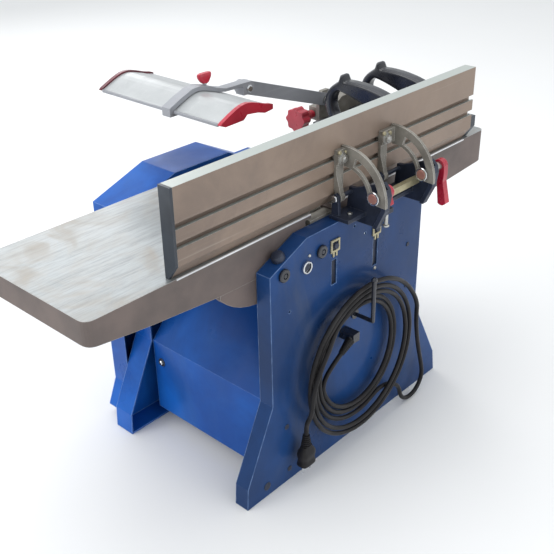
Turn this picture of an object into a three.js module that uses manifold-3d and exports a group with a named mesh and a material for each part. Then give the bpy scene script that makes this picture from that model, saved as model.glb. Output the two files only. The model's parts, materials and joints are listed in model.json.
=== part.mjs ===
// A compact 260 mm surface planer (jointer): a blue folded-sheet cabinet, two cast tables with a
// cutter block between them, a tilting fence carried on two slotted quadrants, a bridge guard on a
// swinging arm, two push blocks and the coiled mains cord on the back panel.
//
// Millimetres, +Z up. X runs along the tables (the work is fed toward +X), Y runs across them
// (+Y is the operator's side) and Z is measured from the floor. Sub-parts are drawn with Y = 0
// on the back face of the fence; the last lines move the origin under the middle of the machine.

import * as THREE from 'three';
import { mergeVertices } from 'three/addons/utils/BufferGeometryUtils.js';
import Module from 'manifold-3d';

const wasm = await Module();
wasm.setup();

// ---- driving dimensions --------------------------------------------------------------------

const GAP = 0.3;                 // running or seating gap between two touching pieces

const TABLE_Z = 505;             // top of both tables
const TABLE_END = 518;           // each table reaches this far from the middle
const TABLE_BACK = 10;
const TABLE_FRONT = 301;
const TABLE_CORNER = 18;
const TABLE_WALL = 12;

const CUTTER_X = -20;
const CUTTER_RADIUS = 35;        // circle that the knife edges turn in
const CUTTER_Z = TABLE_Z - CUTTER_RADIUS;
const CUTTER_BODY_RADIUS = 33.5;
const CUTTER_BACK = 31;
const CUTTER_FRONT = 280;
const SHAFT_RADIUS = 12;
const KNIVES = 2;
const LIP_REACH = 27;            // from the cutter axis to the edge of each table lip

const SHEET = 3;                 // panel sheet
const BACK_PANEL_OUT = -22;
const BACK_PANEL_IN = 9;
const FRONT_PANEL_IN = 305;
const FRONT_PANEL_OUT = 353;
const PANEL_TOP = 487;
const PANEL_LEFT = -186;
const PANEL_RIGHT = 245;

const COVER_OUT = 400;           // front face of the belt cover
const COVER_TOP = 516.5;
const COVER_SHEET = 2;

const MOTOR_Z = 170;
const MOTOR_RADIUS = 62;
const MOTOR_PULLEY_RADIUS = 42;
const CUTTER_PULLEY_RADIUS = 28; // 2800 turns a minute at the motor, 4200 at the cutter
const BELT_BACK = 364;
const BELT_FRONT = 376;
const BELT_THICKNESS = 4;
const BELT_PLAY = 0.8;

const FENCE_LEFT = -355;
const FENCE_RIGHT = 441;
const FENCE_TOP = 655;
const FENCE_FRONT = 25;
const FENCE_SLOTS = [594, 563];  // heights of the two T-slots in its back face

const HINGE_Y = -9;              // line that the fence tilts about
const HINGE_Z = 524;
const HINGES_X = [24, 166];
const QUADRANT_INNER = 52;
const QUADRANT_OUTER = 88;
const SLOT_RADIUS = 66;          // middle of the curved clamping slot
const SLOT_HALF = 8;
const QUADRANT_LEFT = -6;        // faces of the slotted arc, from the plane that each side is set out from
const QUADRANT_RIGHT = 0;
const HEAD_OFFSETS = [14.5, 32];   // each leg and head bolt stand this far to the left of that plane
const LEG_HALF = 9;
const WEB_LEFT = 13;             // faces of the carrier's web, from the same plane
const WEB_RIGHT = 20;
const CLAMP_ANGLE = 10;          // degrees above level, from the hinge to the clamp bolt
const LEVER_FACES = [21, 44];    // where each lever's hub starts, from the same plane
const LEVER_HUB = 13;
const LEVER_ANGLES = [260, 260];  // degrees, turned about X from pointing to +Y
const LEVER_LENGTHS = [26, 76];

const ARM_PIVOT = new THREE.Vector3(350, 309, 551);
const ARM_HEAD = new THREE.Vector3(91, 309, 638.5);
const ARM_THICK = 6;
const ARM_HEIGHT = 27;
const PLATE_BACK = 171;          // the guard plate between its two end caps
const PLATE_FRONT = 489;
const CAP_THICK = 8;
const HEAD_BACK = 284;
const HEAD_FRONT = 305.6;

const BLOCKS_X = [330, 455];     // the two push blocks

const CORD_RADIUS = 4.5;
const CORD_Y = -46;              // the plane that the cord hangs in
const COIL = new THREE.Vector3(40, CORD_Y, 192);
const COIL_INNER = 92;
const COIL_OUTER = 170;
const COIL_HALF = 12;

const REACH_BACK = -97;          // furthest back: the rims of the quadrants
const REACH_FRONT = PLATE_FRONT + CAP_THICK + GAP;

// ---- colours -------------------------------------------------------------------------------

const paint = { color: 0x2f4f8f, roughness: 0.45, metalness: 0.1 };
const castIron = { color: 0xa8aaa6, roughness: 0.4, metalness: 0.8 };
const greyCasting = { color: 0x86827a, roughness: 0.6, metalness: 0.5 };
const aluminium = { color: 0xb0aca4, roughness: 0.45, metalness: 0.8 };
const steel = { color: 0xc4c6c8, roughness: 0.3, metalness: 0.9 };
const blackCasting = { color: 0x20242c, roughness: 0.5, metalness: 0.3 };
const blackPlastic = { color: 0x1c1e26, roughness: 0.3, metalness: 0 };
const redPlastic = { color: 0xb82f45, roughness: 0.4, metalness: 0 };
const greenPlastic = { color: 0x2f8f4a, roughness: 0.4, metalness: 0 };
const rubber = { color: 0x1b1a19, roughness: 0.7, metalness: 0 };

// ---- small tools ---------------------------------------------------------------------------

function toManifold(geometry) {
  const bare = geometry.clone();
  bare.deleteAttribute('normal');
  bare.deleteAttribute('uv');
  const merged = mergeVertices(bare, 1e-4);
  const vertProperties = Float32Array.from(merged.getAttribute('position').array);
  const corners = merged.getIndex().array;
  const kept = [];
  for (let i = 0; i < corners.length; i += 3) {
    const [a, b, c] = corners.slice(i, i + 3);
    if (a !== b && b !== c && c !== a) kept.push(a, b, c);
  }
  const triVerts = Uint32Array.from(kept);
  return new wasm.Manifold(new wasm.Mesh({ numProp: 3, vertProperties, triVerts }));
}

function toGeometry(manifold) {
  const mesh = manifold.getMesh();
  const geometry = new THREE.BufferGeometry();
  geometry.setAttribute('position', new THREE.BufferAttribute(mesh.vertProperties, 3));
  geometry.setIndex(new THREE.BufferAttribute(mesh.triVerts, 1));
  return geometry;
}

function join(...geometries) {
  return toGeometry(geometries.map(toManifold).reduce((sum, next) => sum.add(next)));
}

function cut(base, ...tools) {
  return toGeometry(tools.map(toManifold).reduce((rest, tool) => rest.subtract(tool), toManifold(base)));
}

function common(first, second) {
  return toGeometry(toManifold(first).intersect(toManifold(second)));
}

function piece(name, geometry, finish) {
  const mesh = new THREE.Mesh(geometry, new THREE.MeshStandardMaterial(finish));
  mesh.name = name;
  return mesh;
}

function at(object, x, y, z) {
  object.position.set(x, y, z);
  return object;
}

function group(...children) {
  const result = new THREE.Group();
  result.add(...children);
  return result;
}

// A box between two corners.
function block(x0, x1, y0, y1, z0, z1) {
  const geometry = new THREE.BoxGeometry(x1 - x0, y1 - y0, z1 - z0);
  return geometry.translate((x0 + x1) / 2, (y0 + y1) / 2, (z0 + z1) / 2);
}

// A round bar along X, Y or Z. The centre is given in the other two axes, in XYZ order.
function bar(axis, radius, from, to, a = 0, b = 0, sides = 16) {
  const geometry = new THREE.CylinderGeometry(radius, radius, to - from, sides);
  const middle = (from + to) / 2;
  if (axis === 'x') return geometry.rotateZ(Math.PI / 2).translate(middle, a, b);
  if (axis === 'y') return geometry.translate(a, middle, b);
  return geometry.rotateX(Math.PI / 2).translate(a, b, middle);
}

function outline(points) {
  return new THREE.Shape(points.map(([x, y]) => new THREE.Vector2(x, y)));
}

const solidOptions = (depth) => ({ depth, bevelEnabled: false, steps: 1, curveSegments: 6 });

// A flat shape drawn in X and Z, as thick as the space from y0 to y1.
function slabXZ(shape, y0, y1, options = solidOptions(y1 - y0)) {
  return new THREE.ExtrudeGeometry(shape, options).rotateX(Math.PI / 2).translate(0, y1, 0);
}

// A flat shape drawn in Y and Z, from x0 to x1.
const YZ_TO_WORLD = new THREE.Matrix4().makeBasis(
  new THREE.Vector3(0, 1, 0), new THREE.Vector3(0, 0, 1), new THREE.Vector3(1, 0, 0));

function slabYZ(shape, x0, x1, options = solidOptions(x1 - x0)) {
  return new THREE.ExtrudeGeometry(shape, options).applyMatrix4(YZ_TO_WORLD).translate(x0, 0, 0);
}

// A flat shape drawn in X and Y, from z0 to z1.
function slabXY(shape, z0, z1) {
  return new THREE.ExtrudeGeometry(shape, solidOptions(z1 - z0)).translate(0, 0, z0);
}

// The same corner points moved inward by a distance, for an anticlockwise outline.
function inset(points, distance) {
  return points.map((point, i) => {
    const here = new THREE.Vector2(...point);
    const before = here.clone().sub(new THREE.Vector2(...points.at(i - 1))).normalize();
    const after = new THREE.Vector2(...points[(i + 1) % points.length]).sub(here).normalize();
    const miter = new THREE.Vector2(-before.y - after.y, before.x + after.x).normalize();
    const reach = distance / (miter.x * -before.y + miter.y * before.x);
    return [here.x + miter.x * reach, here.y + miter.y * reach];
  });
}

// A folded sheet seen from its edge: a line of points, thickened to its left by the distance.
function folded(points, distance) {
  const side = points.map(([x, y], i) => {
    const before = points[Math.max(i - 1, 0)];
    const after = points[Math.min(i + 1, points.length - 1)];
    const first = new THREE.Vector2(x - before[0], y - before[1]).normalize();
    const second = new THREE.Vector2(after[0] - x, after[1] - y).normalize();
    const normal = new THREE.Vector2(-first.y - second.y, first.x + second.x).normalize();
    const straight = first.lengthSq() > 0 ? first : second;
    const reach = distance / (normal.x * -straight.y + normal.y * straight.x);
    return [x + normal.x * reach, y + normal.y * reach];
  });
  return outline([...points, ...side.reverse()]);
}

// A turned piece: radii and places along its axis, which becomes +Y.
function turned(profile, sides = 24) {
  const points = profile.map(([r, y]) => new THREE.Vector2(r, y));
  if (THREE.ShapeUtils.area(points) < 0) points.reverse();
  return new THREE.LatheGeometry(points, sides);
}

function ringPoint(radius, degrees) {
  const turn = THREE.MathUtils.degToRad(degrees);
  return [-radius * Math.cos(turn), radius * Math.sin(turn)];
}

// ---- cabinet -------------------------------------------------------------------------------

const PANEL_OUTLINE = [
  [-258, 0], [338, 0], [330, 51], [250, 200], [PANEL_RIGHT, 210], [PANEL_RIGHT, 448],
  [150, PANEL_TOP], [-95, PANEL_TOP], [PANEL_LEFT, 448], [PANEL_LEFT, 190], [-255, 45],
];

// A folded-edge panel: its sheet lies on one side of the space and its edges turn to the other.
function foldedPanel(points, sheet, outer, inner) {
  const [low, high] = [Math.min(outer, inner), Math.max(outer, inner)];
  const hollowLow = outer < inner ? low + sheet : low - 1;
  const hollowHigh = outer < inner ? high + 1 : high - sheet;
  const hollow = slabXZ(outline(inset(points, sheet)), hollowLow, hollowHigh);
  return cut(slabXZ(outline(points), low, high), hollow);
}

const SIGHT_SLOTS = [[-22, 369, 418], [98, 359, 419]];
const PANEL_HOLES = [
  [34, 462, 3], [66, 436, 3], [204, 362, 3], [206, 269, 3], [-140, 365, 3],
  [-151, 127, 3], [-145, 26, 3], [-206, 23, 6], [-98, 434, 9.6], [6, 256, 8],
];

function backPanel() {
  const from = BACK_PANEL_OUT - 1;
  const to = BACK_PANEL_OUT + SHEET + 1;
  const slots = SIGHT_SLOTS.map(([x, low, high]) => block(x - 7, x + 7, from, to, low, high));
  const holes = PANEL_HOLES.map(([x, z, radius]) => bar('y', radius, from, to, x, z, 8));
  const panel = foldedPanel(PANEL_OUTLINE, SHEET, BACK_PANEL_OUT, BACK_PANEL_IN);
  return piece('back_panel', cut(panel, ...slots, ...holes), paint);
}

function frontPanel() {
  const from = FRONT_PANEL_OUT - SHEET - 1;
  const to = FRONT_PANEL_OUT + 1;
  const shaftHole = bar('y', SHAFT_RADIUS + 2, from, to, CUTTER_X, CUTTER_Z);
  const motorHole = bar('y', SHAFT_RADIUS + 2, from, to, CUTTER_X, MOTOR_Z);
  const panel = foldedPanel(PANEL_OUTLINE, SHEET, FRONT_PANEL_OUT, FRONT_PANEL_IN);
  return piece('front_panel', cut(panel, shaftHole, motorHole), paint);
}

const COVER_OUTLINE = [
  [-239, 20], [195, 20], [172, 75], [172, 455], [48, COVER_TOP], [-92, COVER_TOP],
  [-216, 473], [-216, 75],
];

// The part of the cover that reaches back over the front panel, up to the tables.
const HOOD_OUTLINE = [
  [-216, 430], [-188, 430], [-188, 449], [-96, PANEL_TOP + 1.5], [106, PANEL_TOP + 1.5],
  [48, COVER_TOP], [-92, COVER_TOP], [-216, 473],
];

function beltCover() {
  const cover = foldedPanel(COVER_OUTLINE, COVER_SHEET, COVER_OUT, FRONT_PANEL_OUT + GAP);
  const hood = foldedPanel(HOOD_OUTLINE, COVER_SHEET, FRONT_PANEL_IN + GAP, FRONT_PANEL_OUT + 2);
  return piece('belt_cover', join(cover, hood), paint);
}

const INSIDE_BACK = BACK_PANEL_IN + GAP;
const INSIDE_FRONT = FRONT_PANEL_IN - GAP;

function sheets() {
  const infeedApron = [[-60, 330], [PANEL_LEFT + 4, 190], [PANEL_LEFT + 4, 30], [-162, 30]];
  const outfeedApron = [[220, 30], [PANEL_RIGHT - 4, 30], [PANEL_RIGHT - 4, 190], [215, 204]];
  const chute = [[-63, 400], [-52, 356], [40, 326], [236, 262]];
  return group(
    piece('infeed_apron', slabXZ(folded(infeedApron, 2.5), INSIDE_BACK, INSIDE_FRONT), paint),
    piece('outfeed_apron', slabXZ(folded(outfeedApron, 2.5), INSIDE_BACK, INSIDE_FRONT), paint),
    piece('chip_chute', slabXZ(folded(chute, 2), INSIDE_BACK, INSIDE_FRONT), aluminium),
    piece('motor_shelf', block(-150, 212, INSIDE_BACK, INSIDE_FRONT, 58, 62), paint),
  );
}

function switchBox() {
  const boxBack = COVER_OUT + GAP;
  const boxFront = COVER_OUT + 26;
  const face = boxFront;
  const wells = [355, 325].map((z) => bar('y', 11, face - 12, face + 1, 95, z, 20));
  const box = cut(block(70, 120, boxBack, boxFront, 298, 382), ...wells);
  const button = () => turned([[0, 0], [10.4, 0], [10.4, 9], [9, 11], [0, 11]], 16);
  return group(
    piece('switch_box', box, blackPlastic),
    at(piece('start_button', button(), greenPlastic), 95, face - 7, 355),
    at(piece('stop_button', button(), redPlastic), 95, face - 7, 325),
  );
}

// ---- tables --------------------------------------------------------------------------------

// The plan of a table, with rounded corners at its outer end. The inner end is the lip.
function tablePlan(lip, end) {
  const inward = Math.sign(lip - end) * TABLE_CORNER;
  const plan = new THREE.Shape();
  plan.moveTo(lip, TABLE_BACK);
  plan.lineTo(end + inward, TABLE_BACK);
  plan.quadraticCurveTo(end, TABLE_BACK, end, TABLE_BACK + TABLE_CORNER);
  plan.lineTo(end, TABLE_FRONT - TABLE_CORNER);
  plan.quadraticCurveTo(end, TABLE_FRONT, end + inward, TABLE_FRONT);
  plan.lineTo(lip, TABLE_FRONT);
  return plan;
}

// Pockets under the top leave the outer walls, cross ribs and one long rib.
function tablePockets(from, to, count) {
  const rib = 8;
  const middle = (TABLE_BACK + TABLE_FRONT) / 2;
  const rows = [
    [TABLE_BACK + TABLE_WALL, middle - rib / 2],
    [middle + rib / 2, TABLE_FRONT - TABLE_WALL],
  ];
  const pitch = (to - from + rib) / count;
  const starts = Array.from({ length: count }, (_, i) => from + i * pitch);
  return starts.flatMap((x) => rows.map(([y0, y1]) =>
    block(x, x + pitch - rib, y0, y1, 380, TABLE_Z - TABLE_WALL)));
}

const LIP_UNDERSIDE = TABLE_Z - 8;
const BODY_REACH = 42;           // from the cutter axis to the deep part of each table

function infeedTable() {
  const lip = CUTTER_X - LIP_REACH;
  const body = CUTTER_X - BODY_REACH;
  const side = outline([
    [-TABLE_END, TABLE_Z], [-TABLE_END, 464], [-413, 451], [-267, 438], [body, 432],
    [body, LIP_UNDERSIDE], [lip, LIP_UNDERSIDE], [lip, TABLE_Z],
  ]);
  const plan = slabXY(tablePlan(lip, -TABLE_END), 380, TABLE_Z);
  const casting = common(slabXZ(side, TABLE_BACK, TABLE_FRONT), plan);
  const hollow = cut(casting, ...tablePockets(-TABLE_END + TABLE_WALL, body - TABLE_WALL, 4));
  const cheek = new THREE.Shape();
  cheek.moveTo(body - 8, 445);
  cheek.lineTo(-266, 445);
  cheek.lineTo(-266, 430);
  cheek.quadraticCurveTo(-232, 388, -160, 386);
  cheek.lineTo(body - 8, 384);
  const cheeks = [
    slabXZ(cheek, TABLE_BACK + 0.5, TABLE_BACK + 18),
    slabXZ(cheek, TABLE_FRONT - 18, TABLE_FRONT - 0.5),
  ];
  return piece('infeed_table', join(hollow, ...cheeks), castIron);
}

function outfeedTable() {
  const lip = CUTTER_X + LIP_REACH;
  const body = CUTTER_X + BODY_REACH;
  const side = outline([
    [TABLE_END, TABLE_Z], [lip, TABLE_Z], [lip, LIP_UNDERSIDE], [body, LIP_UNDERSIDE],
    [body, 428], [359, 429], [TABLE_END, 438],
  ]);
  const plan = slabXY(tablePlan(lip, TABLE_END), 380, TABLE_Z);
  const casting = common(slabXZ(side, TABLE_BACK, TABLE_FRONT), plan);
  const pockets = tablePockets(body + TABLE_WALL, TABLE_END - TABLE_WALL, 4);
  return piece('outfeed_table', cut(casting, ...pockets), castIron);
}

// The socket on the back panel that raises and lowers the infeed table, and its two lock bolts.
function depthAdjuster() {
  const socket = cut(
    turned([[0, 22], [8.6, 22], [8.6, 1], [11.5, 1], [11.5, -5], [0, -5]], 16),
    new THREE.CylinderGeometry(7.6, 7.6, 12, 6).translate(0, -4, 0),
  );
  const cap = () => turned([[0, 6], [12, 6], [12, 2], [10, 0], [0, 0]], 16);
  const capY = BACK_PANEL_OUT - GAP - 6;
  return group(
    at(piece('depth_adjuster', socket, steel), -98, BACK_PANEL_OUT - 1 - GAP, 434),
    at(piece('lock_bolt_left', cap(), blackPlastic), -154, capY, 441),
    at(piece('lock_bolt_right', cap(), blackPlastic), -58, capY, 448),
  );
}

// ---- cutter block and drive ----------------------------------------------------------------

const KNIFE_THICK = 3;
const KNIFE_DEPTH = 15;

function cutterBlock() {
  const body = bar('y', CUTTER_BODY_RADIUS, CUTTER_BACK, CUTTER_FRONT, 0, 0, 36);
  const shaft = bar('y', SHAFT_RADIUS, 2, BELT_FRONT + 4, 0, 0, 16);
  const slots = Array.from({ length: KNIVES }, (_, i) => {
    const half = KNIFE_THICK / 2 + GAP;
    const slot = block(-half, half, CUTTER_BACK - 1, CUTTER_FRONT + 1, 0, KNIFE_DEPTH + 5);
    const floor = CUTTER_RADIUS - KNIFE_DEPTH - GAP;
    return slot.translate(0, 0, floor).rotateY((i + 0.25) * 2 * Math.PI / KNIVES);
  });
  return piece('cutter_block', cut(join(body, shaft), ...slots), steel);
}

function knife(index) {
  const half = KNIFE_THICK / 2;
  const floor = CUTTER_RADIUS - KNIFE_DEPTH;
  const blade = outline([
    [-half, floor], [half, floor], [half, CUTTER_RADIUS - 3], [-half, CUTTER_RADIUS - 0.05],
  ]);
  const mesh = piece(`knife_${index + 1}`, slabXZ(blade, CUTTER_BACK + 1, CUTTER_FRONT - 1), steel);
  mesh.rotation.y = (index + 0.25) * 2 * Math.PI / KNIVES;
  return mesh;
}

function cutter() {
  const knives = Array.from({ length: KNIVES }, (_, i) => knife(i));
  return at(group(cutterBlock(), ...knives, cutterPulley()), CUTTER_X, 0, CUTTER_Z);
}

// A rimmed pulley with a bore, standing in the plane of the belt.
function pulley(radius, bore) {
  const profile = [
    [bore, BELT_BACK - 2], [radius + 3, BELT_BACK - 2], [radius + 3, BELT_BACK - GAP],
    [radius, BELT_BACK - GAP], [radius, BELT_FRONT + GAP], [radius + 3, BELT_FRONT + GAP],
    [radius + 3, BELT_FRONT + 2], [bore, BELT_FRONT + 2], [bore, BELT_BACK - 2],
  ];
  return turned(profile, 24);
}

function cutterPulley() {
  return piece('cutter_pulley', pulley(CUTTER_PULLEY_RADIUS, SHAFT_RADIUS + GAP), greyCasting);
}

// The closed line around both pulleys, as a distance from their faces.
function beltLine(path, distance) {
  const high = CUTTER_PULLEY_RADIUS + distance;
  const low = MOTOR_PULLEY_RADIUS + distance;
  const lean = Math.asin((low - high) / (CUTTER_Z - MOTOR_Z));
  path.absarc(0, CUTTER_Z, high, lean, Math.PI - lean, false);
  path.absarc(0, MOTOR_Z, low, Math.PI - lean, 2 * Math.PI + lean, false);
  return path;
}

function driveBelt() {
  const loop = beltLine(new THREE.Shape(), BELT_PLAY + BELT_THICKNESS);
  loop.holes.push(beltLine(new THREE.Path(), BELT_PLAY));
  const options = { ...solidOptions(BELT_FRONT - BELT_BACK), curveSegments: 12 };
  const belt = slabXZ(loop, BELT_BACK, BELT_FRONT, options);
  return at(piece('drive_belt', belt, rubber), CUTTER_X, 0, 0);
}

// A block that holds one end of the cutter shaft, bolted inside a panel.
function bearingBlock(name, panelSide, tableSide) {
  const [low, high] = [Math.min(panelSide, tableSide), Math.max(panelSide, tableSide)];
  const belowRim = block(-38, 38, low, high, -42, PANEL_TOP - SHEET - 1 - CUTTER_Z);
  const between = [Math.max(low, INSIDE_BACK), Math.min(high, INSIDE_FRONT)];
  const tall = block(-30, 30, ...between, 0, 22);
  const bore = bar('y', SHAFT_RADIUS + GAP + 0.5, low - 1, high + 1);
  return piece(name, cut(join(belowRim, tall), bore), greyCasting);
}

function bearings() {
  return at(group(
    bearingBlock('bearing_back', BACK_PANEL_OUT + SHEET + GAP, CUTTER_BACK - 1),
    bearingBlock('bearing_front', FRONT_PANEL_OUT - SHEET - GAP, CUTTER_FRONT + 1),
  ), CUTTER_X, 0, CUTTER_Z);
}

function motor() {
  const r = MOTOR_RADIUS;
  const body = turned([[0, 60], [r - 14, 60], [r - 6, 68], [r - 6, 92], [r, 92], [r, 262],
    [r - 8, 270], [24, 276], [0, 276]], 24);
  const rotor = join(pulley(MOTOR_PULLEY_RADIUS, SHAFT_RADIUS - 2), bar('y', SHAFT_RADIUS, 276 + GAP, 380));
  const cradle = cut(block(-58, 58, 110, 240, 62 + GAP - MOTOR_Z, -34),
    bar('y', r + GAP + 0.6, 100, 250, 0, 0, 24));
  return at(group(
    piece('motor', body, greyCasting),
    piece('motor_pulley', rotor, greyCasting),
    piece('motor_cradle', cradle, blackCasting),
  ), CUTTER_X, 0, MOTOR_Z);
}

// ---- fence ---------------------------------------------------------------------------------

const FENCE_FOOT = TABLE_Z + 0.4;

const FENCE_SECTION = [
  [0, 530], [18, FENCE_FOOT], [FENCE_FRONT, FENCE_FOOT], [FENCE_FRONT, FENCE_TOP],
  [0, FENCE_TOP],
];

function fenceExtrusion() {
  const slots = FENCE_SLOTS.flatMap((z) => [
    block(FENCE_LEFT - 1, FENCE_RIGHT + 1, -1, 4, z - 5, z + 5),
    block(FENCE_LEFT - 1, FENCE_RIGHT + 1, 3.5, 9.5, z - 7, z + 7),
  ]);
  const chambers = [
    outline([[4, 605], [FENCE_FRONT - 4, 605], [FENCE_FRONT - 4, 651], [4, 651]]),
    outline([[13, 555], [FENCE_FRONT - 4, 555], [FENCE_FRONT - 4, 601], [13, 601]]),
    outline([[4.5, 532], [FENCE_FRONT - 4, 511], [FENCE_FRONT - 4, 551], [4.5, 551]]),
  ].map((shape) => slabYZ(shape, FENCE_LEFT - 1, FENCE_RIGHT + 1));
  const body = slabYZ(outline(FENCE_SECTION), FENCE_LEFT, FENCE_RIGHT);
  return piece('fence', cut(body, ...slots, ...chambers), aluminium);
}

function fenceEnds() {
  const cap = slabYZ(outline(FENCE_SECTION), FENCE_LEFT - GAP - 5, FENCE_LEFT - GAP);
  const shoe = outline([[1, 530], [17, FENCE_FOOT + 1], [24, FENCE_FOOT + 1], [24, 546], [18, 552],
    [1, 552]]);
  return group(
    piece('fence_end_cap', cap, blackPlastic),
    piece('fence_end_shoe', slabYZ(shoe, FENCE_RIGHT + GAP, FENCE_RIGHT + 18), blackPlastic),
  );
}

// A quadrant, drawn in Y and Z from the hinge line: a knuckle and leg on the fence, a boss for the
// head bolt, and a slotted arc that stands to their right.
function quadrant(name, offset) {
  const fenceFace = -HINGE_Y - GAP;
  const band = new THREE.Shape();
  band.absarc(0, 0, QUADRANT_OUTER, Math.PI * (85 / 180), Math.PI * (182 / 180), false);
  band.absarc(0, 0, QUADRANT_INNER, Math.PI * (182 / 180), Math.PI * (85 / 180), true);
  const slot = new THREE.Path();
  slot.absarc(0, 0, SLOT_RADIUS + SLOT_HALF, Math.PI * (177 / 180), Math.PI * (108 / 180), true);
  slot.absarc(0, 0, SLOT_RADIUS - SLOT_HALF, Math.PI * (108 / 180), Math.PI * (177 / 180), false);
  band.holes.push(slot);
  const options = { ...solidOptions(QUADRANT_RIGHT - QUADRANT_LEFT), curveSegments: 14 };
  const arc = slabYZ(band, QUADRANT_LEFT, QUADRANT_RIGHT, options);
  const [left, right] = [-offset - LEG_HALF, -offset + LEG_HALF];
  const leg = block(left, right, 3, fenceFace, 14, 84);
  const bridge = block(left, QUADRANT_RIGHT, 0, fenceFace, 58, 84);
  const root = slabYZ(outline([[-8, 0], [5, 0], [fenceFace, 16], [fenceFace, 40], [3, 40]]), left, left + 10);
  const knuckle = bar('x', 9, left, left + 10);
  const boltZ = FENCE_SLOTS[0] - HINGE_Z;
  const boss = bar('y', 11, -2, fenceFace, -offset, boltZ);
  const pinHole = bar('x', 4 + GAP, left - 1, left + 11, 0, 0, 12);
  const boltHole = bar('y', 4 + GAP, -30, fenceFace + 1, -offset, boltZ, 12);
  return piece(name, cut(join(arc, leg, bridge, root, knuckle, boss), pinHole, boltHole), greyCasting);
}

// The bolt that draws a quadrant's head onto the fence: hexagon outside, square nut in the T-slot.
function headBolt(name, offset) {
  const hexagon = new THREE.CylinderGeometry(7.5, 7.5, 6, 6).translate(0, -5 - GAP, 0);
  const shank = bar('y', 4, -4, -HINGE_Y + 8, 0, 0, 12);
  const nut = block(-6, 6, -HINGE_Y + 4 + GAP, -HINGE_Y + 8, -6, 6);
  return at(piece(name, join(hexagon, shank, nut), steel), -offset, 0, FENCE_SLOTS[0] - HINGE_Z);
}

// The black carrier that holds a quadrant: a foot on the panel's top edge, a web that reaches out
// to the clamp, a rim along the web, a lug beside the knuckle and the hinge pin pressed into both.
function carrier(name, offset, withStopLug) {
  const knuckle = -offset - LEG_HALF;
  const top = PANEL_TOP + GAP - HINGE_Z;
  const face = BACK_PANEL_OUT - GAP - HINGE_Y;
  const [clampY, clampZ] = ringPoint(SLOT_RADIUS, CLAMP_ANGLE);
  const web = [
    [-HINGE_Y - 1, top], [-HINGE_Y - 1, top + 8], [4, 8], [-8, 9], [-62, 30], [clampY - 4, 34],
    [clampY - 14, 24], [clampY - 17, clampZ], [clampY - 13, -16], [-61, -53], [face, -53],
    [face, top],
  ];
  const rim = [
    [clampY - 14, 24], [clampY - 17, clampZ], [clampY - 13, -16], [-61, -53], [-53, -53],
    [clampY - 5, -14], [clampY - 9, clampZ], [clampY - 7, 22],
  ];
  const solids = [
    slabYZ(outline(web), WEB_LEFT, WEB_RIGHT),
    slabYZ(outline(rim), WEB_LEFT - 6, WEB_RIGHT),
    block(knuckle - 12, 28, -34, -HINGE_Y - 1, top, top + 7),
    slabYZ(outline([[-9, top + 3], [8, top + 3], [6, 5], [0, 9], [-6, 5]]), knuckle - 7, knuckle - GAP),
    bar('x', 13, WEB_LEFT, WEB_RIGHT + 0.4, clampY, clampZ),
    bar('x', 4, knuckle - 9, WEB_RIGHT, 0, 0, 12),
  ];
  if (withStopLug) solids.push(block(WEB_RIGHT - 1, WEB_RIGHT + 18, clampY - 9, clampY + 8, -26, -18));
  const holes = [bar('x', 5 + GAP, -30, 60, clampY, clampZ, 12)];
  if (withStopLug) holes.push(bar('z', 4, -40, -10, WEB_RIGHT + 10, clampY, 12));
  return piece(name, cut(join(...solids), ...holes), blackCasting);
}

// The clamp bolt: a round washer on the quadrant, a shank through slot and web, a domed end.
function clampBolt(name, leverFace) {
  const washer = bar('x', 10, QUADRANT_LEFT - GAP - 4, QUADRANT_LEFT - GAP);
  const shank = bar('x', 5, QUADRANT_LEFT - GAP - 2, leverFace + LEVER_HUB + 4, 0, 0, 12);
  const [y, z] = ringPoint(SLOT_RADIUS, CLAMP_ANGLE);
  if (leverFace <= WEB_RIGHT + 1) return at(piece(name, join(washer, shank), steel), 0, y, z);
  const sleeve = bar('x', 8, WEB_RIGHT + 1, leverFace - GAP);
  return at(piece(name, join(washer, shank, sleeve), steel), 0, y, z);
}

// A clamp lever with a broad hub and a long handle, which points to +Y before it is turned.
function clampLever(name, leverFace, degrees, length) {
  const neck = 0.39 * length;
  const handle = new THREE.Shape();
  handle.moveTo(0, 12);
  handle.quadraticCurveTo(0.6 * neck, 11, neck, 6.5);
  handle.lineTo(length - 4, 8.5);
  handle.quadraticCurveTo(length + 4, 0, length - 4, -8.5);
  handle.lineTo(neck, -6.5);
  handle.quadraticCurveTo(0.6 * neck, -11, 0, -12);
  handle.absarc(0, 0, 12, -Math.PI / 2, Math.PI / 2, true);
  const options = { ...solidOptions(LEVER_HUB), curveSegments: 5 };
  const body = slabYZ(handle, leverFace, leverFace + LEVER_HUB, options);
  const bore = bar('x', 5 + GAP, leverFace - 1, leverFace + LEVER_HUB + 1, 0, 0, 12);
  const [y, z] = ringPoint(SLOT_RADIUS, CLAMP_ANGLE);
  const lever = at(piece(name, cut(body, bore), redPlastic), 0, y, z);
  lever.rotation.x = THREE.MathUtils.degToRad(degrees);
  return lever;
}

const SIDES = ['left', 'right'];

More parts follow.
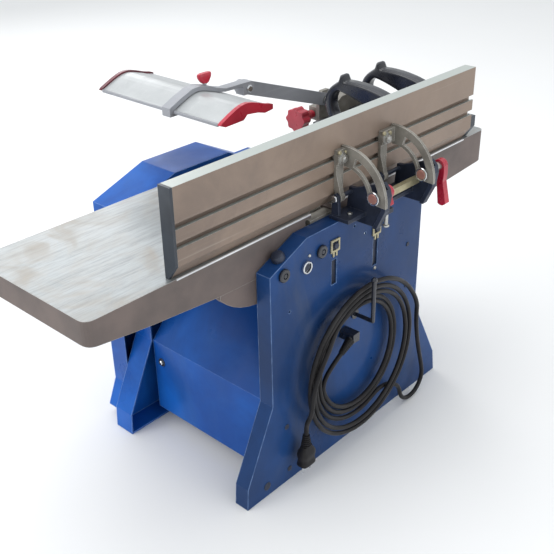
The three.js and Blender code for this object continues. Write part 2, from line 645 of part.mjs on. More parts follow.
function fenceSupports() {
  const [clampY] = ringPoint(SLOT_RADIUS, CLAMP_ANGLE);
  const sides = SIDES.map((side, i) => at(group(
    quadrant(`quadrant_${side}`, HEAD_OFFSETS[i]),
    headBolt(`head_bolt_${side}`, HEAD_OFFSETS[i]),
    carrier(`carrier_${side}`, HEAD_OFFSETS[i], i === 0),
    clampBolt(`clamp_bolt_${side}`, LEVER_FACES[i]),
    clampLever(`clamp_lever_${side}`, LEVER_FACES[i], LEVER_ANGLES[i], LEVER_LENGTHS[i]),
  ), HINGES_X[i], HINGE_Y, HINGE_Z));
  const tie = block(HINGES_X[0] + WEB_RIGHT + GAP, HINGES_X[1] + WEB_LEFT - GAP, -56, -46, 508, 520);
  const stop = turned([[0, 0], [6, 0], [6, 3], [3.6, 4], [3.6, 36], [0, 36]], 16).rotateX(Math.PI / 2);
  const stopX = HINGES_X[0] + WEB_RIGHT + 10;
  return group(
    ...sides,
    piece('tie_bar', tie, steel),
    at(piece('tilt_stop', stop, steel), stopX, HINGE_Y + clampY, 471),
  );
}

// ---- bridge guard --------------------------------------------------------------------------

// The waved section of the guard, in X and Z, along the top of the plate from toe to heel.
function guardCurve() {
  return new THREE.SplineCurve([
    [-99, 642], [-86, 648], [-70, 655], [-52, 661], [-34, 662], [-10, 656], [8, 650], [22, 647],
  ].map(([x, z]) => new THREE.Vector2(x, z)));
}

function guardPlate() {
  const line = guardCurve().getPoints(14).map(({ x, y }) => [x, y]);
  const skin = slabXZ(folded(line, -3), PLATE_BACK, PLATE_FRONT);
  const ribs = [[-99, 638, 643], [-52, 646, 660], [-10, 645, 655], [18, 639, 647]].map(([x, low, high]) =>
    block(x, x + 4, PLATE_BACK, PLATE_FRONT, low, high));
  return piece('guard_plate', join(skin, ...ribs), aluminium);
}

function guardCap(name, from) {
  const top = guardCurve().getPoints(14).map(({ x, y }) => [x, y + 3]);
  const cap = outline([
    ...top, [27, 648], [27, 639], [6, 637], [-12, 642], [-38, 645], [-48, 637], [-92, 636],
    [-104, 641],
  ].reverse());
  return piece(name, slabXZ(cap, from, from + CAP_THICK), redPlastic);
}

// The saddle that the plate slides in: it follows the plate's top, hooks under its toe, and ends in
// the block that is pinned to the arm.
function guardHead() {
  const above = guardCurve().getPoints(14).map(({ x, y }) => [x, y + 1.3]);
  const saddle = outline([
    [-110, 632], [-93, 632], [-93, 636.5], [-103, 636.5], [-103, 643], ...above, [27, 647],
    [76, 645.5], [76, 628], [104, 628], [104, 650], [98, 652], [30, 653], [8, 659], [-10, 666],
    [-34, 672], [-54, 671], [-84, 660], [-110, 648],
  ]);
  const spindle = bar('z', 4 + GAP, 640, 690, -14, (HEAD_BACK + HEAD_FRONT) / 2, 12);
  const pinHole = bar('y', 5 + GAP, HEAD_BACK - 1, HEAD_FRONT + 1, ARM_HEAD.x, ARM_HEAD.z, 12);
  const slabs = cut(slabXZ(saddle, HEAD_BACK, HEAD_FRONT), pinHole, spindle);
  return piece('guard_head', slabs, greyCasting);
}

function wingKnob() {
  const stem = bar('z', 4, 660, 676, 0, 0, 12);
  const collar = turned([[0, 0], [8, 0], [8, 4], [0, 4]], 16).rotateX(Math.PI / 2).translate(0, 0, 672);
  const wings = outline([[-7, 0], [7, 0], [14, 10], [13, 15], [-13, 15], [-14, 10]]);
  const grip = slabXZ(wings, -5, 5).translate(0, 0, 675);
  const knob = join(stem, collar, grip);
  return at(piece('wing_knob', knob, redPlastic), -14, (HEAD_BACK + HEAD_FRONT) / 2, 0);
}

function guardArm() {
  const along = ARM_PIVOT.clone().sub(ARM_HEAD);
  const length = along.length();
  const half = ARM_HEIGHT / 2;
  const flat = new THREE.Shape();
  flat.moveTo(0, half);
  flat.absarc(0, 0, half, Math.PI / 2, Math.PI * 1.5, false);
  flat.lineTo(length, -half);
  flat.absarc(length, 0, half, -Math.PI / 2, Math.PI / 2, false);
  flat.holes = [0, length].map((x) => {
    const hole = new THREE.Path();
    return hole.absarc(x, 0, 5 + GAP, 0, 2 * Math.PI, true);
  });
  const mesh = piece('guard_arm', slabXZ(flat, -ARM_THICK / 2, ARM_THICK / 2), aluminium);
  at(mesh, ARM_HEAD.x, ARM_HEAD.y, ARM_HEAD.z);
  mesh.rotation.y = -Math.atan2(along.z, along.x);
  return mesh;
}

function guardPins() {
  const armFront = ARM_HEAD.y + ARM_THICK / 2;
  const headPin = join(bar('y', 5, HEAD_BACK, armFront + 2, 0, 0, 12),
    bar('y', 9, armFront + GAP, armFront + 5));
  const pivotPin = join(bar('y', 5, armFront - ARM_THICK - 1, armFront + 8, 0, 0, 12),
    bar('y', 10, armFront - ARM_THICK - 4, armFront - ARM_THICK - GAP));
  return group(
    at(piece('guard_head_pin', headPin, steel), ARM_HEAD.x, 0, ARM_HEAD.z),
    at(piece('guard_pivot_pin', pivotPin, steel), ARM_PIVOT.x, 0, ARM_PIVOT.z),
  );
}

const KNOB_Y = 350;
const KNOB_Z = 508;

// The casting on the front edge of the outfeed table that carries the arm and its height screw.
function guardBracket() {
  const armFront = ARM_PIVOT.y + ARM_THICK / 2 + GAP;
  const upright = slabXZ(outline([[334, 470], [384, 470], [384, 545], [366, 570], [344, 570], [334, 556]]),
    armFront, armFront + 9);
  const housing = slabXZ(outline([[378, 440], [470, 440], [470, 528], [452, 548], [400, 548], [378, 536]]),
    TABLE_FRONT + GAP, armFront + 24);
  const arm = block(358, 400, armFront, KNOB_Y + 12, 494, 524);
  const pinHole = bar('y', 5 + GAP, armFront - 1, armFront + 60, ARM_PIVOT.x, ARM_PIVOT.z, 12);
  const screwHole = bar('x', 6 + GAP, 330, 380, KNOB_Y, KNOB_Z, 12);
  return piece('guard_bracket', cut(join(upright, housing, arm), pinHole, screwHole), greyCasting);
}

// The fluted knob of the height screw, with its neck and screw, along X.
function heightKnob() {
  const lobes = 8;
  const rim = new THREE.Shape();
  const steps = lobes * 5;
  for (let i = 0; i < steps; i += 1) {
    const turn = (i / steps) * 2 * Math.PI;
    const radius = 25 + 2 * Math.cos(lobes * turn);
    const place = [radius * Math.cos(turn), radius * Math.sin(turn)];
    if (i === 0) rim.moveTo(...place);
    else rim.lineTo(...place);
  }
  const head = slabYZ(rim, 0, 22);
  const neck = turned([[0, -22], [22, -22], [11, -46], [9, -58], [0, -58]], 16).rotateZ(Math.PI / 2);
  const screw = bar('x', 6, 50, 80, 0, 0, 12);
  return at(piece('height_knob', join(head, neck, screw), redPlastic), 297, KNOB_Y, KNOB_Z);
}

function guard() {
  return group(
    guardPlate(),
    guardCap('guard_cap_back', PLATE_BACK - GAP - CAP_THICK),
    guardCap('guard_cap_front', PLATE_FRONT + GAP),
    guardHead(),
    wingKnob(),
    guardArm(),
    guardPins(),
    guardBracket(),
    heightKnob(),
  );
}

// ---- push blocks ---------------------------------------------------------------------------

const BLOCK_FOOT = TABLE_Z + GAP;
const BLOCK_BASE = 14;

// A horned loop handle on a flat base, drawn in Y and Z.
function pushBlock(name) {
  const floor = BLOCK_BASE - 2;
  const loop = new THREE.Shape();
  loop.moveTo(270, floor);
  loop.bezierCurveTo(276, 22, 283, 34, 284, 50);
  loop.bezierCurveTo(286, 74, 272, 88, 250, 102);
  loop.lineTo(245, 117);
  loop.lineTo(236, 117);
  loop.lineTo(231, 106);
  loop.bezierCurveTo(205, 108, 165, 106, 132, 96);
  loop.bezierCurveTo(92, 84, 76, 50, 78, floor);
  const hole = new THREE.Path();
  hole.moveTo(258, 30);
  hole.bezierCurveTo(270, 52, 268, 74, 248, 82);
  hole.bezierCurveTo(222, 78, 190, 68, 150, 52);
  hole.bezierCurveTo(128, 44, 116, 36, 120, 26);
  hole.lineTo(246, 24);
  loop.holes.push(hole);
  const options = {
    depth: 14, steps: 1, curveSegments: 6,
    bevelEnabled: true, bevelThickness: 7, bevelSize: 5, bevelOffset: -5, bevelSegments: 1,
  };
  const handle = slabYZ(loop, -7, 7, options);
  const base = block(-42, 42, 62, 292, 0, BLOCK_BASE);
  return piece(name, join(handle, base), blackPlastic);
}

function pushBlocks() {
  const blocks = BLOCKS_X.map((x, i) => at(pushBlock(`push_block_${i + 1}`), x, 0, BLOCK_FOOT));
  return group(...blocks);
}

// ---- mains cord ----------------------------------------------------------------------------

const point = (x, z, y = CORD_Y) => new THREE.Vector3(x, y, z);

// A round cord along a smooth line through hand-placed points.
function cordAlong(points, steps) {
  const section = new THREE.Shape();
  section.absarc(0, 0, CORD_RADIUS, 0, 2 * Math.PI, false);
  const path = new THREE.CatmullRomCurve3(points);
  return new THREE.ExtrudeGeometry(section, {
    extrudePath: path, steps, bevelEnabled: false, curveSegments: 4,
  });
}

const GLAND = point(6, 256);
const LEAD_ROUTE = [point(-11.3, 244.8), point(-28, 234), point(-40, 225)];
const LOOP_ROUTE = [
  point(214.5, 214), point(217.5, 190), point(224.5, 150), point(235, 110), point(245.5, 77),
  point(250.8, 56.2), point(251.6, 40.9), point(245.5, 24.7), point(233.2, 12.6),
  point(216.9, 6.8), point(199.6, 8.5), point(184.7, 17.2), point(174.9, 31.5),
  point(169.6, 47.9), point(163.4, 58.2),
];
const TAIL_ROUTE = [point(-131, 142), point(-128, 130), point(-125.4, 118), point(-125, 106)];

// The elbow gland on the panel, whose nozzle aims the cord down into the coil.
function cordGland() {
  const face = BACK_PANEL_OUT - GAP;
  const body = block(-9, 9, CORD_Y - 9, face, -9, 9);
  const stub = bar('y', 7, face - 1, BACK_PANEL_OUT + SHEET + 5, 0, 0, 12);
  const nozzle = new THREE.CylinderGeometry(6, 8.5, 16, 12).translate(0, 12, 0);
  nozzle.rotateX(Math.PI / 2).rotateY(THREE.MathUtils.degToRad(-123)).translate(0, CORD_Y, 0);
  return at(piece('cord_gland', join(body, stub, nozzle), blackPlastic), GLAND.x, 0, GLAND.z);
}

// A bent rod that the coil hangs from.
function cordHook() {
  const shankZ = COIL.z + COIL_INNER - GAP - 4;
  const face = BACK_PANEL_OUT - GAP;
  const tipY = COIL.y - COIL_HALF - 7;
  const shank = bar('y', 4, tipY, face, 0, 0, 10);
  const upright = bar('z', 4, 0, 86, 0, tipY, 10);
  const elbow = new THREE.SphereGeometry(4, 10, 6).translate(0, tipY, 0);
  const tip = new THREE.SphereGeometry(6, 10, 6).translate(0, tipY, 86);
  const flange = bar('y', 10, face - 3, face, 0, 0, 12);
  return at(piece('cord_hook', join(shank, upright, elbow, tip, flange), blackPlastic), COIL.x, 0, shankZ);
}

function cordCoil() {
  const ring = [
    [COIL_INNER, 4 - COIL_HALF], [COIL_INNER + 4, -COIL_HALF], [COIL_OUTER - 4, -COIL_HALF],
    [COIL_OUTER, 4 - COIL_HALF], [COIL_OUTER, COIL_HALF - 4], [COIL_OUTER - 4, COIL_HALF],
    [COIL_INNER + 4, COIL_HALF], [COIL_INNER, COIL_HALF - 4], [COIL_INNER, 4 - COIL_HALF],
  ];
  return at(piece('cord_coil', turned(ring, 40), rubber), COIL.x, COIL.y, COIL.z);
}

// The two-pin plug, hanging from the tail with its pins down.
function cordPlug() {
  const end = TAIL_ROUTE.at(-1);
  const boot = new THREE.CylinderGeometry(6.5, 10, 26, 12).rotateX(Math.PI / 2).translate(0, 0, -13 - GAP);
  const body = outline([[-11, -24], [11, -24], [18, -34], [18, -66], [-18, -66], [-18, -34]]);
  const pins = [-9.5, 9.5].map((x) => bar('z', 2.4, -84, -64, x, 0, 8));
  return at(piece('cord_plug', join(boot, slabXZ(body, -12, 12), ...pins), rubber), end.x, end.y, end.z);
}

function cord() {
  return group(
    cordGland(),
    cordHook(),
    piece('cord_lead', cordAlong(LEAD_ROUTE, 4), rubber),
    cordCoil(),
    piece('cord_loop', cordAlong(LOOP_ROUTE, 24), rubber),
    piece('cord_tail', cordAlong(TAIL_ROUTE, 5), rubber),
    cordPlug(),
  );
}

// ---- the whole machine ---------------------------------------------------------------------

const machine = group(
  backPanel(),
  frontPanel(),
  beltCover(),
  sheets(),
  switchBox(),
  infeedTable(),
  outfeedTable(),
  depthAdjuster(),
  cutter(),
  bearings(),
  driveBelt(),
  motor(),
  fenceExtrusion(),
  fenceEnds(),
  fenceSupports(),
  guard(),
  pushBlocks(),
  cord(),
);
machine.position.y = -(REACH_BACK + REACH_FRONT) / 2;

export default group(machine);
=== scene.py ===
"""The looks of a compact surface planer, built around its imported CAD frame.

Metres, +Z up. X runs along the tables, Y across them towards the operator. Drawing heights and
lengths are given in millimetres with Y = 0 on the back face of the fence, as in the CAD source,
and are turned into the frame's metres by p().
"""

import json
import math

import bmesh
import bpy
from mathutils import Matrix, Vector


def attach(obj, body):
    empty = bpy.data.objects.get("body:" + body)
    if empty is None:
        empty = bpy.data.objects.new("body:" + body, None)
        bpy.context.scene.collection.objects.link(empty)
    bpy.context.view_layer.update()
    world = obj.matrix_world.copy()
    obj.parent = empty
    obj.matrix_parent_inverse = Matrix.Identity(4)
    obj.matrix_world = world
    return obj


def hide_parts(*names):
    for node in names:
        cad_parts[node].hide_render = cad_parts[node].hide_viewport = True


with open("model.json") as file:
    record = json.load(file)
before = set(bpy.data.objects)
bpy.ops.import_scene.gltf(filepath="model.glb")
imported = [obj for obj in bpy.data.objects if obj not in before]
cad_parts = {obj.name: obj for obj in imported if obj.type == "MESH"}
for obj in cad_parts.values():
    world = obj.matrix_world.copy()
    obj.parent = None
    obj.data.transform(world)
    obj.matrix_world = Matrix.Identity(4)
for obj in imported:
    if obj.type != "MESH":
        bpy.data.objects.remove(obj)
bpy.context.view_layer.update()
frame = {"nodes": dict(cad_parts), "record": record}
nodes = frame["nodes"]

SHIFT_Y = -200.15  # from the fence's back face to the frame's origin


def p(x, y, z):
    """A point given in millimetres from the fence's back face, in the frame's metres."""
    return Vector((x, y + SHIFT_Y, z)) / 1000


# ---- camera --------------------------------------------------------------------------------

YAW = math.radians(43.0)
PITCH = math.radians(28.8)
ROLL = math.radians(-1.1)
LENS = 56.14

camera = bpy.data.objects.new("camera", bpy.data.cameras.new("camera"))
bpy.context.collection.objects.link(camera)
bpy.context.scene.camera = camera
camera.data.lens = LENS
camera.data.sensor_width = 36.0
ahead = Vector((math.cos(YAW) * math.cos(PITCH), math.sin(YAW) * math.cos(PITCH), -math.sin(PITCH)))
level_right = Vector((math.sin(YAW), -math.cos(YAW), 0))
level_up = level_right.cross(ahead)
right = level_right * math.cos(ROLL) + level_up * math.sin(ROLL)
up = level_up * math.cos(ROLL) - level_right * math.sin(ROLL)
turn = Matrix((right, up, -ahead)).transposed().to_4x4()
camera.matrix_world = Matrix.Translation(p(-1066.6, -858.7, 1119.0)) @ turn


# ---- node materials ------------------------------------------------------------------------


def srgb(r, g, b):
    """A colour given as 0 to 255 display values, as a linear colour."""
    linear = [c / 12.92 if c <= 0.04045 else ((c + 0.055) / 1.055) ** 2.4 for c in (r / 255, g / 255, b / 255)]
    return (*linear, 1.0)


class Surface:
    """A procedural material: small helpers around one Principled shader."""

    def __init__(self, name, **sockets):
        self.material = bpy.data.materials.new(name)
        self.material.use_nodes = True
        self.tree = self.material.node_tree
        self.shader = self.tree.nodes["Principled BSDF"]
        for key, value in sockets.items():
            self.shader.inputs[key.replace("_", " ")].default_value = value
        self.place = self.tree.nodes.new("ShaderNodeTexCoord").outputs["Object"]

    def node(self, kind, **settings):
        made = self.tree.nodes.new(kind)
        for key, value in settings.items():
            setattr(made, key, value)
        return made

    def link(self, value, socket):
        if hasattr(value, "links"):
            self.tree.links.new(value, socket)
        else:
            socket.default_value = value

    def stretched(self, x, y, z):
        mapping = self.node("ShaderNodeMapping")
        self.link(self.place, mapping.inputs["Vector"])
        mapping.inputs["Scale"].default_value = (x, y, z)
        return mapping.outputs["Vector"]

    def noise(self, scale, detail=3.0, roughness=0.55, distortion=0.0, along=None):
        made = self.node("ShaderNodeTexNoise")
        self.link(along or self.place, made.inputs["Vector"])
        made.inputs["Scale"].default_value = scale
        made.inputs["Detail"].default_value = detail
        made.inputs["Roughness"].default_value = roughness
        made.inputs["Distortion"].default_value = distortion
        return made.outputs["Fac"]

    def steps(self, value, low, high, out_low=0.0, out_high=1.0):
        made = self.node("ShaderNodeMapRange", interpolation_type="SMOOTHSTEP")
        self.link(value, made.inputs["Value"])
        for key, number in zip(("From Min", "From Max", "To Min", "To Max"), (low, high, out_low, out_high)):
            made.inputs[key].default_value = number
        return made.outputs["Result"]

    def maths(self, operation, a, b):
        made = self.node("ShaderNodeMath", operation=operation)
        self.link(a, made.inputs[0])
        self.link(b, made.inputs[1])
        return made.outputs["Value"]

    def mix(self, a, b, share):
        made = self.node("ShaderNodeMix", data_type="RGBA")
        self.link(share, made.inputs["Factor"])
        self.link(a, made.inputs["A"])
        self.link(b, made.inputs["B"])
        return made.outputs["Result"]

    def facing(self, axis):
        """1 where the surface at rest looks along the axis, and 0 where it doesn't."""
        geometry = self.node("ShaderNodeNewGeometry")
        dot = self.node("ShaderNodeVectorMath", operation="DOT_PRODUCT")
        self.link(geometry.outputs["Normal"], dot.inputs[0])
        dot.inputs[1].default_value = axis
        return dot.outputs["Value"]

    def rounded(self, radius):
        """The normal with its sharp edges softened, and a mask of those edges."""
        bevel = self.node("ShaderNodeBevel", samples=6)
        bevel.inputs["Radius"].default_value = radius
        geometry = self.node("ShaderNodeNewGeometry")
        dot = self.node("ShaderNodeVectorMath", operation="DOT_PRODUCT")
        self.link(bevel.outputs["Normal"], dot.inputs[0])
        self.link(geometry.outputs["Normal"], dot.inputs[1])
        return bevel.outputs["Normal"], self.steps(dot.outputs["Value"], 0.995, 0.85)

    def bump(self, height, strength, distance, normal=None):
        made = self.node("ShaderNodeBump")
        made.inputs["Strength"].default_value = strength
        made.inputs["Distance"].default_value = distance
        self.link(height, made.inputs["Height"])
        if normal:
            self.link(normal, made.inputs["Normal"])
        return made.outputs["Normal"]

    def finish(self, colour, roughness, normal):
        self.link(colour, self.shader.inputs["Base Color"])
        self.link(roughness, self.shader.inputs["Roughness"])
        self.link(normal, self.shader.inputs["Normal"])
        return self.material


def sheet_paint(name, colour, deep, haze, haze_share):
    """Baked enamel on folded sheet: slow waves, orange peel, hazy smears, and paler folds that are partly wear
    and partly a painted highlight along the bends.
    """
    s = Surface(name, Metallic=0.0, Specular_IOR_Level=0.16, Coat_Weight=0.08, Coat_Roughness=0.12)
    patches = s.steps(s.noise(4.0, 5.0, 0.6, 0.4), 0.35, 0.7)
    smear = s.steps(s.noise(3.2, 8.0, 0.7, 1.2, s.stretched(1.0, 1.0, 0.55)), 0.47, 0.72, 0.0, haze_share)
    scuff = s.steps(s.noise(34.0, 6.0, 0.7, 2.5), 0.66, 0.72, 0.0, 0.35)
    rubbed = s.steps(s.noise(60.0, 4.0), 0.35, 0.65)
    soft, edge = s.rounded(0.0028)
    body = s.mix(deep, colour, patches)
    body = s.mix(body, haze, smear)
    body = s.mix(body, haze, scuff)
    # Pale blue along the folds: partly wear, partly a painted highlight where the bends catch the light.
    worn_and_highlight = s.maths("MULTIPLY", edge, s.maths("ADD", s.maths("MULTIPLY", rubbed, 0.35), 0.4))
    body = s.mix(body, srgb(150, 182, 232), worn_and_highlight)
    gloss = s.maths("ADD", s.steps(s.noise(9.0, 4.0), 0.3, 0.75, 0.26, 0.46), s.maths("MULTIPLY", scuff, 0.4))
    peel = s.bump(s.noise(420.0, 2.0), 0.06, 0.0006, soft)
    waves = s.bump(s.noise(5.5, 2.0), 0.12, 0.006, peel)
    return s.finish(body, gloss, waves)


def table_iron(name):
    """A cast table: the top is ground bright, the sides are a filled and painted grey-brown casting, darkened
    as painted shade where they face down.
    """
    s = Surface(name)
    is_top = s.steps(s.facing((0, 0, 1)), 0.9, 0.98)
    underside_shade = s.steps(s.facing((0, 0, -1)), 0.9, 0.98)
    strokes = s.noise(34.0, 8.0, 0.75, 0.3, s.stretched(0.35, 4.0, 1.0))
    stains = s.steps(s.noise(9.0, 7.0, 0.62, 0.9), 0.42, 0.72)
    bright = s.mix(srgb(158, 163, 166), srgb(124, 128, 128), s.steps(strokes, 0.35, 0.75))
    bright = s.mix(bright, srgb(168, 160, 150), s.maths("MULTIPLY", stains, 0.7))
    side = s.mix(srgb(112, 99, 94), srgb(88, 80, 77), s.steps(s.noise(11.0, 5.0), 0.3, 0.75))
    # Faces that look down are darkened towards a deeper grey-brown: painted shade under the table's edges.
    side = s.mix(side, srgb(72, 66, 64), s.maths("MULTIPLY", underside_shade, 0.5))
    soft, edge = s.rounded(0.0016)
    colour = s.mix(side, bright, is_top)
    # Lighter edges: partly wear, partly a painted highlight along the arrises.
    colour = s.mix(colour, srgb(205, 203, 198), s.maths("MULTIPLY", edge, 0.55))
    s.link(s.steps(is_top, 0.0, 1.0, 0.1, 0.45), s.shader.inputs["Metallic"])
    top_gloss = s.steps(stains, 0.0, 1.0, 0.3, 0.5)
    gloss = s.maths("ADD", s.maths("MULTIPLY", is_top, s.maths("SUBTRACT", top_gloss, 0.58)), 0.58)
    grit = s.bump(s.noise(260.0, 5.0, 0.7), 0.16, 0.0006, soft)
    ground = s.bump(strokes, 0.05, 0.0004, grit)
    return s.finish(colour, gloss, ground)


def casting(name, colour, dark, edge_colour, metallic, rough, grain=1.0):
    """Sand-cast metal: pitted skin, darker blotches and edges rubbed bright."""
    s = Surface(name, Metallic=metallic)
    soft, edge = s.rounded(0.0012)
    blotch = s.steps(s.noise(26.0, 6.0, 0.65), 0.3, 0.72)
    body = s.mix(colour, dark, blotch)
    body = s.mix(body, edge_colour, s.maths("MULTIPLY", edge, 0.75))
    gloss = s.steps(s.noise(55.0, 4.0), 0.25, 0.8, rough - 0.1, rough + 0.12)
    pits = s.bump(s.noise(520.0, 4.0, 0.7), 0.22 * grain, 0.0006, soft)
    lumps = s.bump(s.noise(90.0, 3.0), 0.12 * grain, 0.0012, pits)
    return s.finish(body, gloss, lumps)


def drawn_metal(name, colour, dark, bright, metallic, rough):
    """Drawn aluminium: long die lines along X, faint tarnish and bright arrises."""
    s = Surface(name, Metallic=metallic)
    lines = s.noise(120.0, 5.0, 0.7, 0.0, s.stretched(0.012, 1.0, 1.0))
    tarnish = s.steps(s.noise(4.5, 6.0, 0.62, 0.5), 0.34, 0.74)
    soft, edge = s.rounded(0.0008)
    body = s.mix(colour, dark, tarnish)
    body = s.mix(body, bright, s.steps(lines, 0.56, 0.8, 0.0, 0.4))
    body = s.mix(body, bright, s.maths("MULTIPLY", edge, 0.7))
    gloss = s.steps(s.noise(14.0, 4.0), 0.3, 0.75, rough - 0.07, rough + 0.1)
    scored = s.bump(lines, 0.12, 0.0003, soft)
    return s.finish(body, gloss, scored)


def turned_metal(name, colour, dark, rough, metallic=0.95):
    """Turned or plated steel with fine tool marks."""
    s = Surface(name, Metallic=metallic)
    soft, edge = s.rounded(0.0006)
    body = s.mix(colour, dark, s.steps(s.noise(48.0, 5.0, 0.6), 0.4, 0.8, 0.0, 0.6))
    body = s.mix(body, srgb(225, 226, 228), s.maths("MULTIPLY", edge, 0.5))
    gloss = s.steps(s.noise(130.0, 3.0), 0.3, 0.7, rough - 0.06, rough + 0.08)
    marks = s.bump(s.noise(900.0, 2.0, 0.6, 0.0, s.stretched(1.0, 0.2, 1.0)), 0.05, 0.0002, soft)
    return s.finish(body, gloss, marks)


def moulded(name, colour, dark, pale, rough, grain, coat=0.2):
    """Moulded plastic: fine spark texture, slight fading and handling marks."""
    s = Surface(name, Coat_Weight=coat, Coat_Roughness=0.18)
    soft, edge = s.rounded(0.0012)
    faded = s.steps(s.noise(13.0, 5.0), 0.35, 0.75)
    body = s.mix(colour, dark, faded)
    body = s.mix(body, pale, s.maths("MULTIPLY", edge, 0.35))
    body = s.mix(body, pale, s.steps(s.noise(75.0, 7.0, 0.72, 1.8), 0.67, 0.75, 0.0, 0.3))
    gloss = s.steps(s.noise(40.0, 4.0), 0.3, 0.75, rough - 0.07, rough + 0.12)
    skin = s.bump(s.noise(1400.0, 2.0), grain, 0.0002, soft)
    return s.finish(body, gloss, skin)


def top_lit(surface_look, colour):
    """Blends a paler colour into a look where the surface faces up: a painted highlight on the top faces."""
    tree = surface_look.node_tree
    shader = tree.nodes["Principled BSDF"]
    under = shader.inputs["Base Color"].links[0].from_socket
    geometry = tree.nodes.new("ShaderNodeNewGeometry")
    split = tree.nodes.new("ShaderNodeSeparateXYZ")
    tree.links.new(geometry.outputs["Normal"], split.inputs[0])
    ramp = tree.nodes.new("ShaderNodeMapRange")
    tree.links.new(split.outputs["Z"], ramp.inputs["Value"])
    ramp.inputs["From Min"].default_value = 0.85
    ramp.inputs["From Max"].default_value = 0.97
    mixed = tree.nodes.new("ShaderNodeMix")
    mixed.data_type = "RGBA"
    tree.links.new(ramp.outputs["Result"], mixed.inputs["Factor"])
    tree.links.new(under, mixed.inputs["A"])
    mixed.inputs["B"].default_value = colour
    tree.links.new(mixed.outputs["Result"], shader.inputs["Base Color"])
    return surface_look


def cable_rubber(name):
    """Cable sheath: matt, dusty, with a slight shine where it was handled."""
    s = Surface(name, Sheen_Weight=0.05, Specular_IOR_Level=0.3)
    dust = s.steps(s.noise(30.0, 7.0, 0.68, 0.8), 0.42, 0.74, 0.0, 0.7)
    body = s.mix(srgb(12, 10, 13), srgb(34, 28, 29), dust)
    gloss = s.steps(s.noise(22.0, 4.0), 0.3, 0.75, 0.36, 0.62)
    skin = s.bump(s.noise(700.0, 3.0), 0.12, 0.0002)
    return s.finish(body, gloss, skin)


look = {
    "paint": sheet_paint("blue_enamel", srgb(26, 100, 192), srgb(16, 72, 150), srgb(58, 104, 162), 0.3),
    # The back panel's copy of the blue enamel, darker and greyer: painted shade, with a heavier dust haze.
    "panel": sheet_paint("blue_enamel_shaded_hazed", srgb(28, 68, 124), srgb(22, 52, 96), srgb(62, 76, 102), 0.7),
    "iron": table_iron("cast_table"),
    "grey": casting("grey_casting", srgb(148, 144, 136), srgb(114, 110, 103), srgb(222, 219, 210), 0.25, 0.46),
    "dark": casting("black_casting", srgb(42, 50, 70), srgb(28, 34, 48), srgb(96, 104, 120), 0.1, 0.48, 0.7),
    # The fence's upward faces get a paler grey as a painted highlight.
    "fence": top_lit(drawn_metal(
        "fence_extrusion", srgb(146, 128, 114), srgb(122, 107, 97), srgb(182, 174, 164), 0.3, 0.42),
        srgb(178, 184, 180)),
    "sheet": drawn_metal(
        "bright_sheet", srgb(186, 189, 190), srgb(158, 161, 163), srgb(214, 214, 212), 0.35, 0.36),
    "arm": drawn_metal("arm_bar", srgb(158, 160, 166), srgb(134, 136, 142), srgb(204, 206, 210), 0.1, 0.42),
    "steel": turned_metal("plated_steel", srgb(190, 190, 186), srgb(140, 138, 132), 0.3),
    "zinc": turned_metal("yellow_zinc", srgb(178, 170, 138), srgb(132, 122, 96), 0.38, 0.6),
    # A near-white look for the strip along the tables' back edges: a painted highlight.
    "ground": drawn_metal(
        "painted_highlight_arris", srgb(226, 228, 230), srgb(198, 200, 202), srgb(240, 240, 240), 0.0, 0.4),
    "copper": turned_metal("copper_washer", srgb(178, 128, 118), srgb(140, 100, 92), 0.4, 0.5),
    "chrome": turned_metal("polished_chrome", srgb(214, 216, 218), srgb(176, 178, 182), 0.14),
    "black": moulded("black_plastic", srgb(30, 33, 44), srgb(20, 22, 30), srgb(74, 82, 104), 0.3, 0.05, 0.4),
    "cap": moulded("slate_plastic", srgb(42, 50, 60), srgb(32, 38, 47), srgb(84, 94, 106), 0.42, 0.08),
    "red_dark": moulded("red_plastic_deep", srgb(108, 24, 44), srgb(86, 18, 34), srgb(150, 60, 78), 0.36, 0.05),
    "red": moulded("red_plastic", srgb(190, 34, 58), srgb(158, 26, 48), srgb(226, 92, 112), 0.32, 0.05, 0.35),
    "green": moulded("green_plastic", srgb(38, 140, 72), srgb(30, 112, 58), srgb(110, 190, 130), 0.34, 0.05),
    "rubber": cable_rubber("cable_sheath"),
}

BY_SLOT = {
    "blue_paint": "paint", "table_iron": "iron", "grey_casting": "grey", "fence_aluminium": "fence",
    "bright_steel": "steel", "chrome": "chrome", "black_casting": "dark", "black_plastic": "black",
    "red_plastic": "red", "green_plastic": "green", "cord_rubber": "rubber",
}
BY_NODE = {
    "back_panel": "panel", "fence_end_cap": "cap", "tie_bar": "zinc", "guard_arm": "arm",
    "guard_plate": "sheet", "chip_chute": "sheet", "guard_head": "arm", "guard_cap_front": "red_dark",
    "fence_end_shoe": "cap",
}
for entry in frame["record"]["subparts"]:
    kind = BY_NODE.get(entry["node"], BY_SLOT[entry["material_slot"]])
    slots = nodes[entry["node"]].data.materials
    slots.clear()
    slots.append(look[kind])


# ---- mesh helpers --------------------------------------------------------------------------


def piece(name, bm, kind, body):
    """A finished bmesh as a piece of the object."""
    bmesh.ops.recalc_face_normals(bm, faces=bm.faces)
    mesh = bpy.data.meshes.new(name)
    bm.to_mesh(mesh)
    bm.free()
    for face in mesh.polygons:
        face.use_smooth = True
    mesh.set_sharp_from_angle(angle=math.radians(35))
    made = bpy.data.objects.new(name, mesh)
    bpy.context.collection.objects.link(made)
    mesh.materials.append(look[kind])
    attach(made, body)
    return made


def basis(axis):
    """A matrix whose Z looks along the axis."""
    return Vector(axis).to_track_quat("Z", "Y").to_matrix().to_4x4()


